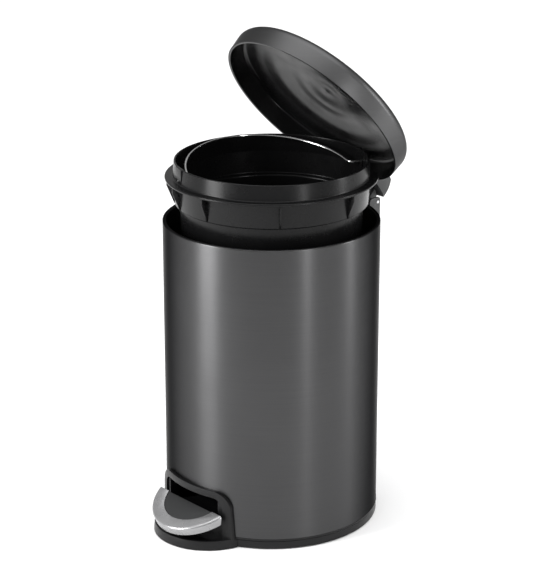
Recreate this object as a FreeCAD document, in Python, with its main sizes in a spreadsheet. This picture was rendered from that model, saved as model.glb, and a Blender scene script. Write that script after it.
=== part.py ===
import FreeCAD, Part
import math
import os
import re

import Sketcher

# Round pedal bin, 12 litres. Millimetres. +Z is up, -Y is the pedal side, +Y is the hinge side.
# The origin is on the floor, on the axis of the round body.
# The lid is drawn closed and then swung open about its pin, so the file rests with the lid open,
# the pedal pressed and the inner bucket lifted part of the way out.

DIMENSIONS = {
    # round steel body
    "body_radius": 125, "body_height": 360, "shell_wall": 0.8,
    "rim_inner_radius": 120.6, "rim_depth": 2.6, "rim_round": 1.3,
    "front_opening_width": 92, "front_opening_bottom": 18.2, "front_opening_top": 60.5,
    "front_opening_corner": 6,
    "rear_window_left": 10, "rear_window_right": 13, "rear_window_bottom": 284,
    "rear_window_top": 357.2,
    # base and its rubber ring
    "base_height": 13, "base_bead_radius": 125.4, "base_bead_bottom": 10.6, "base_step": 0.6,
    "base_underside": 1, "floor_bottom": 3, "floor_top": 5.2, "spigot_top": 18,
    "spigot_inner_radius": 121.6, "foot_inner_radius": 106, "foot_outer_radius": 112.8,
    "base_rib_thickness": 2.4, "base_rib_height": 5,
    # housing around the pedal opening
    "housing_bore_radius": 125.5, "housing_half_width": 59.5, "housing_foot_half_width": 62.5,
    "housing_top": 66.5, "housing_corner": 20, "hood_radius": 130, "skin_radius": 127.6,
    "mouth_half_width": 50.5, "mouth_top": 58.5, "mouth_corner": 12,
    "tray_centre": 97.5, "tray_radius_low": 64.5, "tray_radius_high": 63.5, "tray_top": 11.5,
    "tray_wall": 3,
    "sleeve_half_width": 45.6, "sleeve_wall": 2.4, "sleeve_back": 106,
    "housing_screw_x": 56.5, "housing_screw_height": 34,
    # pedal pad, in its own tilted frame
    "pad_slope": 24, "pad_rear": 125.5, "pad_top": 41.8, "cover_radius": 58, "cover_centre": 14,
    "cover_skirt": 10, "cover_round": 3.2, "cover_wall": 2.2, "inset_radius": 41, "inset_centre": 12,
    "inset_depth": 4, "inset_drop": 0.5, "pad_gap": 0.3,
    # lever, axle and bracket
    "axle_y": 5, "axle_height": 24, "axle_radius": 3, "axle_half_length": 29, "axle_head_radius": 4.6,
    "axle_clearance": 0.05, "lever_boss_radius": 6.5, "lever_boss_half_length": 24,
    "cheek_inner": 25, "cheek_wall": 2, "cheek_radius": 9,
    "bracket_plate_thickness": 1.8, "bracket_plate_overhang": 13,
    # push rod and its guide
    "rod_radius": 1.8, "rod_x": 6, "rod_y": 117.5, "rod_foot_height": 38,
    "hook_y": 129, "hook_height": 347,
    "rod_lift": 15, "guide_height": 196, "guide_length": 10, "guide_clearance": 0.06,
    # damper under the lever
    "damper_x": 2.3, "damper_y": 60, "damper_radius": 8, "damper_top": 16.5, "plunger_radius": 5,
    "plunger_bottom": 14.2, "plunger_top": 25.6, "damper_clearance": 0.08,
    # lid hinge
    "pin_y": 146, "pin_height": 355, "pin_radius": 1.8, "pin_half_length": 24.9, "pin_clearance": 0.04,
    "bracket_half_width": 24.5, "bracket_wall": 3.2, "bracket_bottom": 331, "bracket_top": 360.6,
    "bracket_back": 149.8, "bracket_foot": 116, "bracket_mount_top": 343, "lid_open_angle": 50.8,
    "grip_half_width": 26, "grip_wall": 2.6, "grip_bottom": 281,
    # lid
    "lip_height": 363.7, "lip_radius": 117.2, "lid_radius": 118.4, "lid_sheet": 1,
    "skirt_height": 17.5, "shoulder_radius": 11, "dome_edge_radius": 108.75, "dome_edge_height": 28.4,
    "lid_rise": 35, "rivet_x": 15, "rivet_height": 11, "rivet_radius": 2,
    # inner bucket, lifted by bucket_lift at rest
    "bucket_lift": 48.8, "bucket_azimuth": 70.5, "bucket_wall": 2.2, "bucket_bottom": 58.2,
    "bucket_foot_radius": 96, "bucket_foot_round": 8, "step_height": 331.2, "waist_radius": 105,
    "skirt_radius": 110.6, "neck_radius": 112.8, "flange_bottom": 360.2, "flange_thickness": 2.8,
    "flange_radius": 121.9, "collar_top": 381.2, "collar_radius": 111.2,
    "gusset_radius": 119.9, "gusset_thickness": 2, "pivot_height": 366.2, "pivot_pad_half_width": 9,
    "pivot_pad_reach": 112.9, "relief_start": 95, "relief_radius": 113.3,
    # carrying bail
    "bail_radius": 1.4, "bail_clearance": 0.05, "bail_half_width": 97, "bail_reach": 106.6,
    "bail_tilt": 8.2, "bail_end": 113.6,
}

doc = FreeCAD.newDocument("pedal_bin")
sheet = doc.addObject("Spreadsheet::Sheet", "Dimensions")
for row, (alias, value) in enumerate(DIMENSIONS.items(), start=1):
    sheet.set(f"A{row}", alias)
    sheet.set(f"B{row}", str(value))
    sheet.setAlias(f"B{row}", alias)
doc.recompute()

WORD = re.compile(r"[a-z][a-z_]+")
ORIGIN = FreeCAD.Vector(0, 0, 0)
X_AXIS = FreeCAD.Vector(1, 0, 0)
Y_AXIS = FreeCAD.Vector(0, 1, 0)
Z_AXIS = FreeCAD.Vector(0, 0, 1)
nodes = {}


# ---------- working with the sheet ----------

def cell(alias):
    return float(sheet.get(alias))


def in_sheet(match):
    word = match.group()
    return f"Dimensions.{word}" if word in DIMENSIONS else word


def linked(expression):
    """The expression with every alias pointing at the sheet."""
    return WORD.sub(in_sheet, str(expression))


def number(expression):
    return float(sheet.evalExpression(linked(expression)))


def bind(feature, **sizes):
    for prop, expression in sizes.items():
        feature.setExpression(prop, linked(expression))


def place(feature, x="0", y="0", z="0"):
    for axis, expression in zip("xyz", (x, y, z)):
        feature.setExpression(f"Placement.Base.{axis}", linked(expression))
    return feature


# ---------- primitives and booleans ----------

def block(name, low, high):
    """A box between two corners given as expressions."""
    feature = doc.addObject("Part::Box", name)
    spans = [f"({b}) - ({a})" for a, b in zip(low, high)]
    bind(feature, Length=spans[0], Width=spans[1], Height=spans[2])
    return place(feature, *low)


def rod(name, radius, length, start, along="Z"):
    """A cylinder from a start point along one axis."""
    feature = doc.addObject("Part::Cylinder", name)
    bind(feature, Radius=radius, Height=length)
    turns = {"X": FreeCAD.Rotation(Y_AXIS, 90), "Y": FreeCAD.Rotation(X_AXIS, -90), "Z": FreeCAD.Rotation()}
    feature.Placement = FreeCAD.Placement(ORIGIN, turns[along])
    return place(feature, *start)


def rods_at(name, places, radius, length, low, along="Y"):
    """Equal cylinders that start at low: at (x, z) places when they point along Y, and at (x, y) along Z."""
    starts = [(x, low, z) if along == "Y" else (x, z, low) for x, z in places]
    return [rod(f"{name}_{index}", radius, length, start, along) for index, start in enumerate(starts)]


def cone(name, radius_low, radius_high, height, start):
    feature = doc.addObject("Part::Cone", name)
    bind(feature, Radius1=radius_low, Radius2=radius_high, Height=height)
    return place(feature, *start)


def fuse(name, *parts):
    feature = doc.addObject("Part::MultiFuse", name)
    feature.Shapes = list(parts)
    return feature


def common(name, *parts):
    feature = doc.addObject("Part::MultiCommon", name)
    feature.Shapes = list(parts)
    return feature


def cut(name, base, *tools):
    feature = doc.addObject("Part::Cut", name)
    feature.Base = base
    feature.Tool = tools[0] if len(tools) == 1 else fuse(name + "_tools", *tools)
    return feature


def node(name, feature):
    feature.Label = name
    nodes[name] = feature
    return feature


# ---------- sketches ----------

def arc_centre(start, end, radius):
    """The centre of the short arc from start to end; a positive radius turns left."""
    chord = end - start
    left = FreeCAD.Vector(-chord.y, chord.x, 0).normalize()
    height = math.sqrt(max(radius * radius - chord.Length ** 2 / 4, 0))
    return (start + end) * 0.5 + left * math.copysign(height, radius)


def draw_edge(sketch, here, there, radius=None):
    """Draws a line, or an arc if it has a radius. Returns the edge and its first and last vertex."""
    if radius is None:
        return sketch.addGeometry(Part.LineSegment(here, there), False), 1, 2
    centre = arc_centre(here, there, radius)
    first, last = (here, there) if radius > 0 else (there, here)
    angles = [math.atan2(point.y - centre.y, point.x - centre.x) for point in (first, last)]
    circle = Part.Circle(centre, Z_AXIS, abs(radius))
    edge = sketch.addGeometry(Part.ArcOfCircle(circle, *angles), False)
    return (edge, 1, 2) if radius > 0 else (edge, 2, 1)


def outline_sketch(body, name, plane, outline, offset="0"):
    """A closed outline on an origin plane. A corner is (x, y), or (x, y, radius) where an arc leaves it."""
    sketch = body.newObject("Sketcher::SketchObject", name)
    origin_plane = [feature for feature in body.Origin.OriginFeatures if feature.Role == plane][0]
    sketch.AttachmentSupport = [(origin_plane, "")]
    sketch.MapMode = "FlatFace"
    sketch.setExpression("AttachmentOffset.Base.z", linked(offset))
    corners = [FreeCAD.Vector(number(corner[0]), number(corner[1]), 0) for corner in outline]
    following = corners[1:] + corners[:1]
    edges = []
    for corner, here, there in zip(outline, corners, following):
        edges.append(draw_edge(sketch, here, there, *[number(radius) for radius in corner[2:]]))
    for index, corner in enumerate(outline):
        edge, first, _ = edges[index]
        previous, _, last = edges[index - 1]
        sketch.addConstraint(Sketcher.Constraint("Coincident", previous, last, edge, first))
        pin_point(sketch, edge, first, "DistanceX", corner[0], -2)
        pin_point(sketch, edge, first, "DistanceY", corner[1], -1)
        if len(corner) == 3:
            size = abs(number(corner[2]))
            row = sketch.addConstraint(Sketcher.Constraint("Radius", edge, size))
            sketch.setExpression(f"Constraints[{row}]", linked(f"abs({corner[2]})"))
    return sketch


def pin_point(sketch, edge, end, kind, expression, axis):
    value = number(expression)
    if abs(value) < 1e-9:
        sketch.addConstraint(Sketcher.Constraint("PointOnObject", edge, end, axis))
        return
    row = sketch.addConstraint(Sketcher.Constraint(kind, -1, 1, edge, end, value))
    sketch.setExpression(f"Constraints[{row}]", linked(expression))


def turned(name, outline):
    """A body turned about the Z axis."""
    body = doc.addObject("PartDesign::Body", name)
    sketch = outline_sketch(body, name + "_outline", "XZ_Plane", outline)
    turn = body.newObject("PartDesign::Revolution", name + "_turn")
    turn.Profile = sketch
    turn.ReferenceAxis = (sketch, ["V_Axis"])
    turn.Angle = 360
    return body


def prism(name, plane, outline, start, length):
    """A body padded from start along the plane's normal: +Z for XY, -Y for XZ and +X for YZ."""
    body = doc.addObject("PartDesign::Body", name)
    sketch = outline_sketch(body, name + "_outline", plane, outline, start)
    pad = body.newObject("PartDesign::Pad", name + "_pad")
    pad.Profile = sketch
    bind(pad, Length=length)
    return body


def wire_through(points, radii):
    """Straight runs through the points, with each inner corner rounded by a tangent arc."""
    edges = []
    position = points[0]
    for index, radius in enumerate(radii, start=1):
        corner = points[index]
        arriving = (corner - points[index - 1]).normalize()
        leaving = (points[index + 1] - corner).normalize()
        turn = arriving.getAngle(leaving)
        reach = radius * math.tan(turn / 2)
        first, last = corner - arriving * reach, corner + leaving * reach
        inward = (leaving - arriving).normalize()
        centre = corner + inward * (radius / math.cos(turn / 2))
        edges.append(Part.LineSegment(position, first).toShape())
        edges.append(Part.Arc(first, centre - inward * radius, last).toShape())
        position = last
    edges.append(Part.LineSegment(position, points[-1]).toShape())
    return Part.Wire(edges)


def swept(name, path, radius):
    """A round wire along a path."""
    start = path.Edges[0].valueAt(path.Edges[0].FirstParameter)
    heading = path.Edges[0].tangentAt(path.Edges[0].FirstParameter)
    section = Part.Wire(Part.Circle(start, heading, radius).toShape())
    feature = doc.addObject("Part::Feature", name)
    feature.Shape = path.makePipeShell([section], True, False)
    return feature


# ---------- body and base ----------

def make_body_shell():
    body = turned("body_shell", [
        ("body_radius", "base_height"),
        ("body_radius", "body_height - rim_round", "rim_round"),
        ("body_radius - rim_round", "body_height"),
        ("rim_inner_radius + rim_round", "body_height", "rim_round"),
        ("rim_inner_radius", "body_height - rim_round"),
        ("rim_inner_radius", "body_height - rim_depth"),
        ("body_radius - shell_wall", "body_height - rim_depth"),
        ("body_radius - shell_wall", "base_height"),
    ])
    cut_through(body, "front_opening", rounded_rectangle(
        "-front_opening_width / 2", "front_opening_width / 2",
        "front_opening_bottom", "front_opening_top", "front_opening_corner"), towards_front=True)
    cut_through(body, "rear_window", [
        ("-rear_window_left", "rear_window_bottom"), ("rear_window_right", "rear_window_bottom"),
        ("rear_window_right", "rear_window_top"), ("-rear_window_left", "rear_window_top")],
        towards_front=False)
    node("body_shell", body)


def rounded_rectangle(left, right, bottom, top, radius):
    return [
        (f"{left} + {radius}", bottom), (f"{right} - {radius}", bottom, radius),
        (right, f"{bottom} + {radius}"), (right, f"{top} - {radius}", radius),
        (f"{right} - {radius}", top), (f"{left} + {radius}", top, radius),
        (left, f"{top} - {radius}"), (left, f"{bottom} + {radius}", radius),
    ]


def cut_through(body, name, outline, towards_front):
    """Cuts one side of the shell, and checks that the cut took metal away."""
    doc.recompute()
    before = body.Shape.Volume
    sketch = outline_sketch(body, name + "_outline", "XZ_Plane", outline)
    pocket = body.newObject("PartDesign::Pocket", name)
    pocket.Profile = sketch
    bind(pocket, Length="body_radius + 5")
    pocket.Reversed = towards_front
    doc.recompute()
    if before - body.Shape.Volume < 100:
        raise RuntimeError(f"{name} cut nothing")


def make_base():
    ring = turned("base_turned", [
        ("0", "floor_bottom"), ("foot_outer_radius + 0.2", "floor_bottom"),
        ("foot_outer_radius + 0.2", "base_underside"), ("body_radius - 0.8", "base_underside", "0.8"),
        ("body_radius", "base_underside + 0.8"), ("body_radius", "base_bead_bottom - base_step"),
        ("body_radius - base_step", "base_bead_bottom - base_step"),
        ("body_radius - base_step", "base_bead_bottom"), ("base_bead_radius", "base_bead_bottom"),
        ("base_bead_radius", "base_height - 0.4", "0.4"), ("base_bead_radius - 0.4", "base_height"),
        ("body_radius - shell_wall - 0.1", "base_height"), ("body_radius - shell_wall - 0.1", "spigot_top"),
        ("spigot_inner_radius", "spigot_top"), ("spigot_inner_radius", "floor_top"), ("0", "floor_top"),
    ])
    ribs = []
    for index, (x, front, back) in enumerate(((-60, -80, 80), (60, -80, 80), (-40, -90, 95), (40, -90, 95))):
        low = (f"{x} - base_rib_thickness / 2", front, "floor_top - 0.2")
        high = (f"{x} + base_rib_thickness / 2", back, "floor_top + base_rib_height")
        ribs.append(block(f"base_rib_{index}", low, high))
    holes = rods_at("base_hole", bracket_screw_places(), "1.6", "6", "floor_bottom - 1", "Z")
    node("base", cut("base_cut", fuse("base_body", ring, *ribs), *holes))


def make_rubber_ring():
    node("rubber_ring", turned("rubber_ring", [
        ("foot_inner_radius + 0.6", "0"), ("foot_outer_radius - 0.6", "0"), ("foot_outer_radius", "0.6"),
        ("foot_outer_radius", "floor_bottom"), ("foot_inner_radius", "floor_bottom"),
        ("foot_inner_radius", "0.6"),
    ]))


# ---------- pedal housing ----------

def arched(name, half_width, foot_half_width, bottom, top, corner, start, length):
    """A block towards the pedal, with square lower corners and rounded upper ones."""
    return prism(name, "XZ_Plane", [
        (f"-{foot_half_width}", bottom), (foot_half_width, bottom),
        (half_width, f"{top} - {corner}", corner), (f"{half_width} - {corner}", top),
        (f"{corner} - {half_width}", top, corner), (f"-{half_width}", f"{top} - {corner}"),
    ], start, length)


def make_pedal_housing():
    tray_underside = "base_underside - 0.2"
    tray_floor = "tray_wall + 0.2"
    tray = cone("tray_outside", "tray_radius_low", "tray_radius_high", f"tray_top - ({tray_underside})",
                ("0", "-tray_centre", tray_underside))
    hood = common("hood_curved", rod("hood_front", "hood_radius", "80", ("0", "0", "-5")),
                  arched("hood_outside", "housing_half_width", "housing_foot_half_width", tray_underside,
                         "housing_top", "housing_corner", "100", "35"))
    basin = cone("tray_inside", "tray_radius_low - tray_wall", "tray_radius_high - tray_wall", "tray_top",
                 ("0", "-tray_centre", tray_floor))
    basin = cut("tray_basin", basin, rod("tray_basin_back", "hood_radius", "80", ("0", "0", "-5")))
    mouth = arched("hood_inside", "mouth_half_width", "mouth_half_width", tray_floor, "mouth_top",
                   "mouth_corner", "100", "31")
    mouth = cut("hood_hollow", mouth, rod("housing_skin", "skin_radius", "80", ("0", "0", "-5")))
    bore = rod("housing_bore", "housing_bore_radius", "80", ("0", "0", "-5"))
    shell = cut("housing_shell", fuse("housing_solid", tray, hood), basin, mouth, bore)
    sleeve, passage = make_sleeve()
    holes = rods_at("housing_hole", housing_screw_places(), "1.5", "20", "-115.8")
    node("pedal_housing", cut("housing_finished", fuse("housing_whole", shell, sleeve), passage, *holes))


def make_sleeve():
    """The tube that lines the opening in the body, and the way through it."""
    bottom = "front_opening_bottom + 0.2"
    outside = prism("sleeve_outside", "XZ_Plane", rounded_rectangle(
        "-sleeve_half_width", "sleeve_half_width", bottom, "front_opening_top - 0.2", "5.8"),
        "sleeve_back", "20")
    sleeve = common("sleeve_trimmed", outside, rod("sleeve_limit", "skin_radius", "80", ("0", "0", "0")))
    passage = prism("sleeve_inside", "XZ_Plane", rounded_rectangle(
        "sleeve_wall - sleeve_half_width", "sleeve_half_width - sleeve_wall",
        f"{bottom} + sleeve_wall", "mouth_top", "4"), "100", "40")
    return sleeve, passage


def housing_screw_places():
    return [("-housing_screw_x", "housing_screw_height"), ("housing_screw_x", "housing_screw_height")]


# ---------- pedal ----------

def on_pad(feature, y="0", z="0"):
    """Places a feature in the pad's tilted frame; its own y and z are measured along and across the pad."""
    slope = FreeCAD.Rotation(X_AXIS, cell("pad_slope"))
    corner = FreeCAD.Vector(0, -cell("pad_rear"), cell("pad_top"))
    shift = slope.multVec(FreeCAD.Vector(0, number(y), number(z)))
    feature.Placement = FreeCAD.Placement(corner + shift, slope)
    return feature


def pad_disc(name, radius, low, high, centre):
    disc = doc.addObject("Part::Cylinder", name)
    bind(disc, Radius=radius, Height=f"({high}) - ({low})")
    return on_pad(disc, centre, low)


def behind(name, gap):
    """Everything further back than the rear edge of the pad."""
    return block(name, ("-90", f"-pad_rear - {gap}", "0"), ("90", "20", "90"))


def make_pedal_cover():
    disc = on_pad(turned("cover_disc", [
        ("0", "-cover_skirt"), ("cover_radius", "-cover_skirt"),
        ("cover_radius", "-cover_round", "cover_round"), ("cover_radius - cover_round", "0"), ("0", "0"),
    ]), "cover_centre")
    inner_wall = "inset_radius + cover_wall"
    hole = pad_disc("cover_hole", "inset_radius", "-20", "5", "inset_centre")
    hollow = cut("cover_hollow",
                 pad_disc("cover_cavity", "cover_radius - cover_wall", "-20", "-cover_wall", "cover_centre"),
                 pad_disc("cover_lip", inner_wall, "-inset_depth", "5", "inset_centre"))
    node("pedal_cover", cut("cover_finished", disc, hole, hollow, behind("cover_rear", "0")))


def make_pedal_inset():
    radius = "inset_radius - pad_gap"
    disc = on_pad(turned("inset_disc", [
        ("0", "-inset_depth"), (radius, "-inset_depth"), (radius, "-inset_drop - 0.8", "0.8"),
        (f"{radius} - 0.8", "-inset_drop"), ("0", "-inset_drop"),
    ]), "inset_centre")
    node("pedal_inset", cut("inset_finished", disc, behind("inset_rear", "0.4")))


def make_pad_core():
    """The lever's front end, which fills the cover and carries the inset."""
    radius = "cover_radius - cover_wall - 0.2"
    inset_seat = "-inset_depth - 0.1"
    plate = pad_disc("core_plate", radius, "0.4 - cover_skirt", inset_seat, "cover_centre")
    rim = pad_disc("core_rim", radius, inset_seat, "-cover_wall - 0.2", "cover_centre")
    well = pad_disc("core_well", "inset_radius + cover_wall + pad_gap", "-20", "5", "inset_centre")
    core = fuse("core_whole", plate, cut("core_ring", rim, well))
    return cut("core_trimmed", core, behind("core_rear", "1.4"))


def make_pedal_lever():
    core = make_pad_core()
    side_view = prism("arm_side_view", "YZ_Plane", [
        ("-146", "25"), ("-127", "25.5"), ("-100", "23"), ("-40", "21.2"), ("-axle_y", "axle_height - 4"),
        ("damper_y", "26"), ("rod_y + 4.5", "rod_foot_height - 4.3"),
        ("rod_y + 4.5", "rod_foot_height + 4.3"), ("damper_y", "34"), ("-axle_y", "axle_height + 4"),
        ("-40", "28.6"), ("-100", "31"), ("-128", "33.5"), ("-137", "31.5"), ("-146", "28"),
    ], "-40", "80")
    plan_view = prism("arm_plan_view", "XY_Plane", [
        ("-30", "-152"), ("30", "-152"), ("30", "-112"), ("14", "-40"), ("1.8", "20"), ("1.8", "125"),
        ("-8", "125"), ("-8", "20"), ("-14", "-40"), ("-30", "-112"),
    ], "0", "60")
    arm = common("arm_whole", side_view, plan_view)
    boss = rod("lever_boss", "lever_boss_radius", "2 * lever_boss_half_length",
               ("-lever_boss_half_length", "-axle_y", "axle_height"), "X")
    bore = rod("lever_bore", "axle_radius + axle_clearance", "60", ("-30", "-axle_y", "axle_height"), "X")
    slot = block("rod_slot", ("-20", "rod_y - rod_radius - 1", "rod_foot_height - rod_radius - 0.2"),
                 ("20", "rod_y + rod_radius + 1", "rod_foot_height + rod_radius + 0.2"))
    node("pedal_lever", cut("lever_finished", fuse("lever_whole", core, arm, boss), bore, slot))


# ---------- axle, bracket and damper ----------

def bracket_screw_places():
    return [("-21", "-13"), ("21", "-13"), ("-21", "3"), ("21", "3")]


def make_axle_bracket():
    outer = "cheek_inner + cheek_wall"
    plate = block("bracket_plate", (f"-({outer})", "-axle_y - bracket_plate_overhang", "floor_top"),
                  (outer, "bracket_plate_overhang - axle_y", "floor_top + bracket_plate_thickness"))
    cheeks = []
    for side, low in (("left", f"-({outer})"), ("right", "cheek_inner")):
        cheeks.append(block(f"cheek_{side}", (low, "-axle_y - cheek_radius", "floor_top"),
                            (f"{low} + cheek_wall", "cheek_radius - axle_y", "axle_height")))
        cheeks.append(rod(f"cheek_top_{side}", "cheek_radius", "cheek_wall",
                          (low, "-axle_y", "axle_height"), "X"))
    axle_hole = rod("cheek_hole", "axle_radius", "60", ("-30", "-axle_y", "axle_height"), "X")
    holes = rods_at("bracket_hole", bracket_screw_places(), "1.6", "4", "floor_top - 1", "Z")
    bracket = fuse("axle_bracket_body", plate, *cheeks)
    node("axle_bracket", cut("axle_bracket_cut", bracket, axle_hole, *holes))


def make_pedal_axle():
    end = "axle_half_length"
    head_start = "cheek_inner + cheek_wall"
    head_length = f"{end} - ({head_start})"
    shaft = rod("axle_shaft", "axle_radius", f"2 * {end}", (f"-{end}", "-axle_y", "axle_height"), "X")
    heads = [rod(f"axle_head_{side}", "axle_head_radius", head_length, (x, "-axle_y", "axle_height"), "X")
             for side, x in (("right", head_start), ("left", f"-{end}"))]
    node("pedal_axle", fuse("pedal_axle_body", shaft, *heads))


def pan_screw(name, under_head, direction, shank_length, head_radius, head_height):
    """A pan-head screw. The direction of its shank is +Z, +Y or -Y."""
    x, y, z = under_head
    shank_start = {"+Z": (x, y, z), "+Y": (x, y, z), "-Y": (x, f"{y} - {shank_length}", z)}
    below, before = (x, y, f"{z} - {head_height}"), (x, f"{y} - {head_height}", z)
    head_start = {"+Z": below, "+Y": before, "-Y": (x, y, z)}
    shank = rod(name + "_shank", "1.5", shank_length, shank_start[direction], direction[1])
    head = rod(name + "_head", head_radius, head_height, head_start[direction], direction[1])
    return fuse(name, shank, head)


def make_base_screws():
    screws = [pan_screw(f"base_screw_{index}", (x, y, "floor_bottom"), "+Z", "4", "3", "1.6")
              for index, (x, y) in enumerate(bracket_screw_places())]
    node("base_screws", fuse("base_screw_group", *screws))


def make_housing_screws():
    screws = [pan_screw(f"housing_screw_{index}", (x, "-108.4", z), "-Y", "7", "3.2", "2")
              for index, (x, z) in enumerate(housing_screw_places())]
    node("housing_screws", fuse("housing_screw_group", *screws))


def make_damper():
    x, y = "-damper_x", "damper_y"
    barrel = rod("damper_barrel", "damper_radius", "damper_top - floor_top", (x, y, "floor_top"))
    flange = rod("damper_flange", "damper_radius + 4", "1.6", (x, y, "floor_top"))
    bore = rod("damper_bore", "plunger_radius + damper_clearance", "20", (x, y, "floor_top - 1"))
    node("damper_cylinder", cut("damper_cylinder_body", fuse("damper_outside", barrel, flange), bore))
    plunger = turned("damper_plunger_turned", [
        ("0", "plunger_bottom"), ("plunger_radius", "plunger_bottom"),
        ("plunger_radius", "plunger_top - 2", "5"), ("2.2", "plunger_top"), ("0", "plunger_top"),
    ])
    node("damper_plunger", place(plunger, x, y))


# ---------- push rod ----------

def make_push_rod():
    x, y, foot_z = cell("rod_x"), cell("rod_y"), cell("rod_foot_height")
    hook_y, hook_z = cell("hook_y"), cell("hook_height")
    route = [
        FreeCAD.Vector(-10.6, y, foot_z), FreeCAD.Vector(x, y, foot_z),
        FreeCAD.Vector(x, y, hook_z - 46), FreeCAD.Vector(x, hook_y, hook_z - 28),
        FreeCAD.Vector(x, hook_y, hook_z), FreeCAD.Vector(-4.8, hook_y, hook_z),
    ]
    node("push_rod", swept("push_rod", wire_through(route, [4, 12, 12, 4]), cell("rod_radius")))


def rod_clip(name, x, y, z):
    """A push-on washer on a horizontal end of the rod."""
    washer = rod(f"clip_{name}", "4.2", "0.8", (x, y, z), "X")
    hole = rod(f"clip_{name}_hole", "rod_radius", "3", (f"{x} - 1", y, z), "X")
    return cut(f"clip_{name}_ring", washer, hole)


def make_rod_clips():
    node("rod_clips", fuse("rod_clip_group", rod_clip("foot", "-9.6", "rod_y", "rod_foot_height"),
                           rod_clip("hook", "-3.8", "hook_y", "hook_height")))


def make_rod_guide():
    low = ("rod_x - 9", "rod_y - 4.5", "guide_height")
    high = ("rod_x + 9", "130", "guide_height + guide_length")
    inside = rod("guide_limit", "body_radius - shell_wall - 0.05", "20", ("0", "0", "guide_height - 5"))
    bore = rod("guide_bore", "rod_radius + guide_clearance", "20", ("rod_x", "rod_y", "guide_height - 5"))
    guide = common("guide_trimmed", block("guide_block", low, high), inside)
    node("rod_guide", cut("rod_guide_body", guide, bore))


# ---------- rear bracket, grip and hinge pin ----------

def bracket_rear_places():
    return [("-17.5", "337"), ("17.5", "337")]


def grip_rear_places():
    return [("-19", "292"), ("19", "292")]


def body_clearance(name, bottom):
    """What the body takes away from a piece that sits against it."""
    return rod(name, "body_radius + 0.1", "90", ("0", "0", bottom))


def make_hinge_bracket():
    foot, top, half_width = "bracket_foot", "bracket_top", "bracket_half_width"
    outline = [
        (foot, "bracket_bottom"), ("bracket_back", "bracket_bottom"), ("bracket_back", f"{top} - 3", "3"),
        ("bracket_back - 3", top), ("137.5", top, "4.5"), ("133", f"{top} - 4.5"), ("133", "349"),
        ("125.6", "341"), (foot, "341"),
    ]
    cheeks = [prism(f"bracket_cheek_{side}", "YZ_Plane", outline, start, "bracket_wall")
              for side, start in (("right", f"{half_width} - bracket_wall"), ("left", f"-{half_width}"))]
    back = block("bracket_back_plate", (f"-{half_width}", "bracket_back - 2", "bracket_bottom"),
                 (half_width, "bracket_back", "bracket_mount_top"))
    mount = common("bracket_mount",
                   block("bracket_mount_block", (f"-{half_width}", foot, "bracket_bottom"),
                         (half_width, "140", "bracket_mount_top")),
                   rod("bracket_mount_round", "body_radius + 2.6", "20", ("0", "0", "bracket_bottom - 2")))
    bosses = rods_at("bracket_boss", bracket_rear_places(), "3.8", "12", "121")
    window = block("bracket_window", ("-rear_window_left", "100", "320"),
                   ("rear_window_right", "140", "350"))
    pin_hole = rod("bracket_pin_hole", "pin_radius", "60", ("-30", "pin_y", "pin_height"), "X")
    holes = rods_at("bracket_screw_hole", bracket_rear_places(), "1.5", "14", "118")
    whole = fuse("bracket_whole", *cheeks, back, mount, *bosses)
    node("hinge_bracket", cut("bracket_finished", whole, window, body_clearance("bracket_body_bore", "300"),
                              pin_hole, *holes))


def make_rear_grip():
    top = "bracket_bottom - 0.2"
    back = "bracket_back - 0.2"
    outside = prism("grip_outside", "YZ_Plane", [
        ("bracket_foot", "grip_bottom"), ("127", "grip_bottom"), ("133", "288"), ("142.8", "303.2", "26"),
        (back, "318"), (back, top), ("bracket_foot", top),
    ], "-grip_half_width", "2 * grip_half_width")
    pocket = prism("grip_pocket", "YZ_Plane", [
        ("133", "270"), ("139.8", "270"), ("139.8", "306", "22"), ("146.4", "319"), ("146.4", "327.4"),
        ("133", "327.4"),
    ], "grip_wall - grip_half_width", "2 * (grip_half_width - grip_wall)")
    channel = block("grip_rod_channel", ("-rear_window_left", "100", "270"),
                    ("rear_window_right", "131.4", "340"))
    crank_slot = block("grip_crank_slot", ("-6", "120", "324"), ("3.2", "141", "340"))
    holes = rods_at("grip_screw_hole", grip_rear_places(), "1.5", "14", "118")
    node("rear_grip", cut("grip_finished", outside, pocket, channel, crank_slot,
                          body_clearance("grip_body_bore", "270"), *holes))


def make_rear_screws():
    screws = [pan_screw(f"rear_screw_{index}", (x, "122.2", z), "+Y", "7", "3.2", "1.6")
              for index, (x, z) in enumerate(bracket_rear_places() + grip_rear_places())]
    node("rear_screws", fuse("rear_screw_group", *screws))


def drill_shell():
    """Clearance holes for the screws that pass through the body's wall."""
    shell = nodes["body_shell"]
    shell.Label = "body_shell_undrilled"
    rear = rods_at("shell_rear_hole", bracket_rear_places() + grip_rear_places(), "1.9", "12", "116")
    front = rods_at("shell_front_hole", housing_screw_places(), "1.9", "16", "-120")
    node("body_shell", cut("body_shell_drilled", shell, *rear, *front))


def make_hinge_pin():
    node("hinge_pin", rod("hinge_pin_body", "pin_radius", "2 * pin_half_length",
                          ("-pin_half_length", "pin_y", "pin_height"), "X"))


# ---------- lid, drawn closed ----------

def swung_open(feature):
    pin = FreeCAD.Vector(0, cell("pin_y"), cell("pin_height"))
    swing = FreeCAD.Rotation(X_AXIS, -cell("lid_open_angle"))
    feature.Placement = FreeCAD.Placement(ORIGIN, swing, pin)
    return feature


def rivet_places():
    return [("-rivet_x", "lip_height + rivet_height"), ("rivet_x", "lip_height + rivet_height")]


def crown_radius(edge, rise):
    """The radius of a shallow dome that is centred on the axis."""
    return f"(({edge}) * ({edge}) + ({rise}) * ({rise})) / (2 * ({rise}))"


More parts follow.
